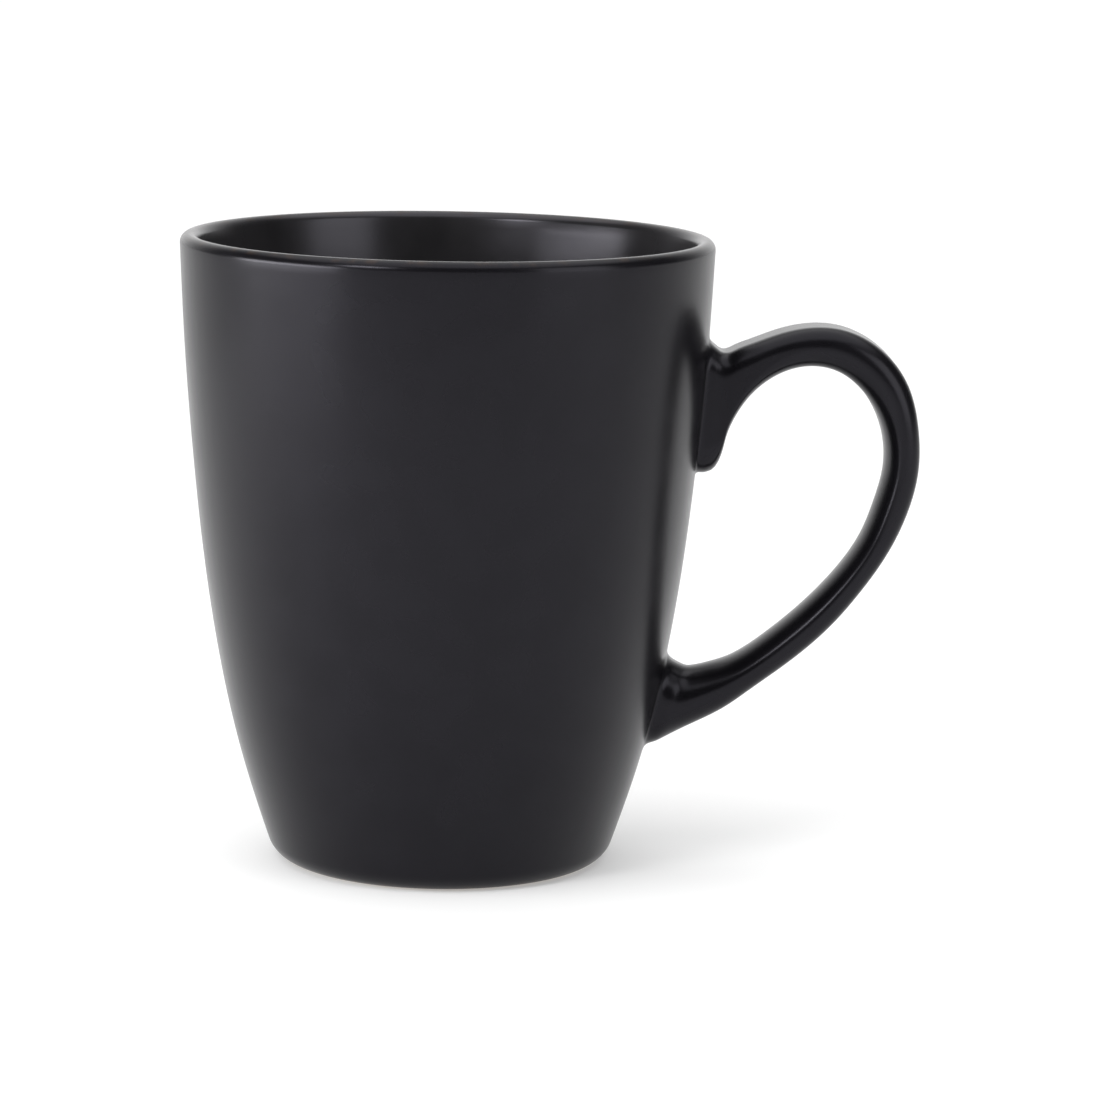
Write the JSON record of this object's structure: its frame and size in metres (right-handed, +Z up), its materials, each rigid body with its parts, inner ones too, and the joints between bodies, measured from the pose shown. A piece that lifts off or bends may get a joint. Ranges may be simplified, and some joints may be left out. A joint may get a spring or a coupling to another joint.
{
  "type": "mug",
  "caption": "Tapered stoneware mug with a full-round lip, a rounded heel, a recessed foot and a looped strap handle, for holding a hot or cold drink.",
  "frame": {"origin": "on the table plane, under the middle of the whole mug's length; the cup's own axis stands at x = -0.01683 m", "axes": "+Z up out of the cup, +X from the cup towards the handle, +Y across the strap"},
  "size_m": [0.1198, 0.086, 0.102],
  "materials": {
    "stoneware": "matte",
    "slip": "matte",
    "satin_glaze": "satin"
  },
  "bodies": {
    "root": {"cup_body": "stoneware", "handle": "stoneware", "upper_slip_joint": "slip", "lower_slip_joint": "slip", "outer_glaze": "satin_glaze", "liner_glaze": "satin_glaze", "base_glaze": "satin_glaze"}
  },
  "joints": []
}
